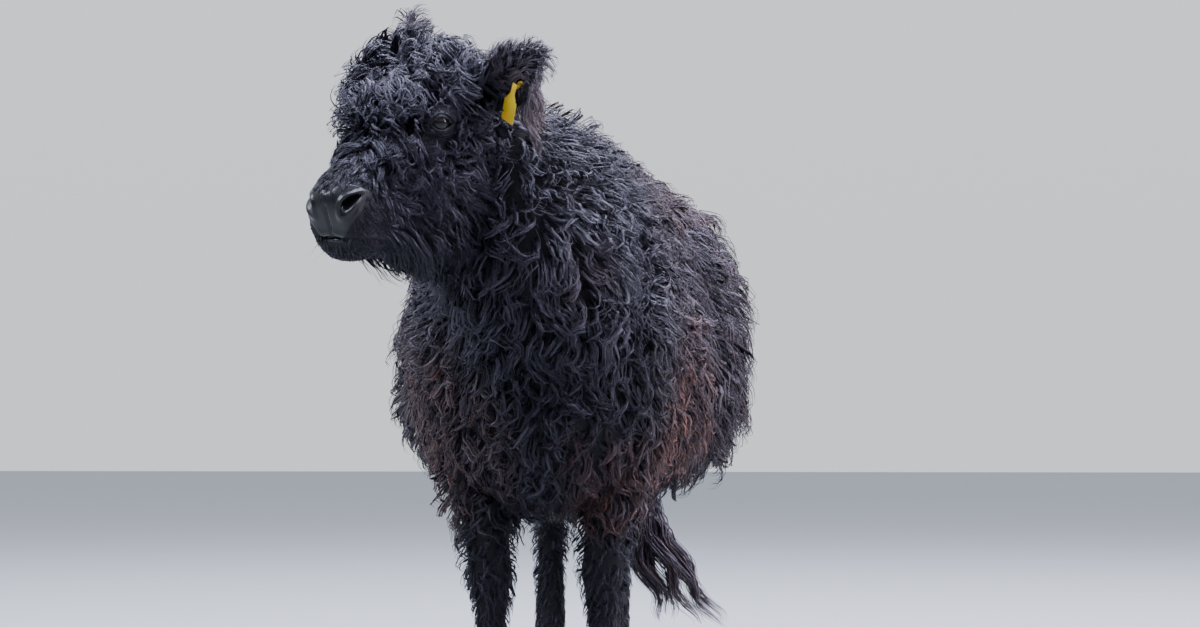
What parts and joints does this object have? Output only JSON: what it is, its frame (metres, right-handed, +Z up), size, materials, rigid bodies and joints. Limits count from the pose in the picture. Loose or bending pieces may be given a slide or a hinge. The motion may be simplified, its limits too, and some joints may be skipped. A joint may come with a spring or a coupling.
{
  "type": "galloway cow",
  "caption": "Life-size standing Galloway cow in a long curly black winter coat, polled, head turned, wearing a yellow ear tag.",
  "frame": {"origin": "on the ground under the middle of the model's bounding box", "axes": "+Z up, the cow faces -Y, her left side is +X"},
  "size_m": [0.8716, 2.2446, 1.4582],
  "materials": {
    "winter_coat": "long, curly black winter coat",
    "bare_muzzle": "bare, moist black skin",
    "hoof_horn": "dark horn",
    "wet_eye": "wet, very dark brown",
    "tag_plastic": "yellow, slightly worn"
  },
  "bodies": {
    "root": {"torso": "winter_coat", "neck": "winter_coat", "head": "winter_coat", "muzzle": "bare_muzzle", "eye_left": "wet_eye", "eye_right": "wet_eye", "ear_left": "winter_coat", "ear_right": "winter_coat", "ear_tag": "tag_plastic", "tail": "winter_coat", "tail_switch": "winter_coat", "fore_left_upper": "winter_coat", "fore_left_lower": "winter_coat", "claw_fore_left_inner": "hoof_horn", "claw_fore_left_outer": "hoof_horn", "fore_right_upper": "winter_coat", "fore_right_lower": "winter_coat", "claw_fore_right_inner": "hoof_horn", "claw_fore_right_outer": "hoof_horn", "hind_left_upper": "winter_coat", "hind_left_lower": "winter_coat", "claw_hind_left_inner": "hoof_horn", "claw_hind_left_outer": "hoof_horn", "hind_right_upper": "winter_coat", "hind_right_lower": "winter_coat", "claw_hind_right_inner": "hoof_horn", "claw_hind_right_outer": "hoof_horn"}
  },
  "joints": []
}
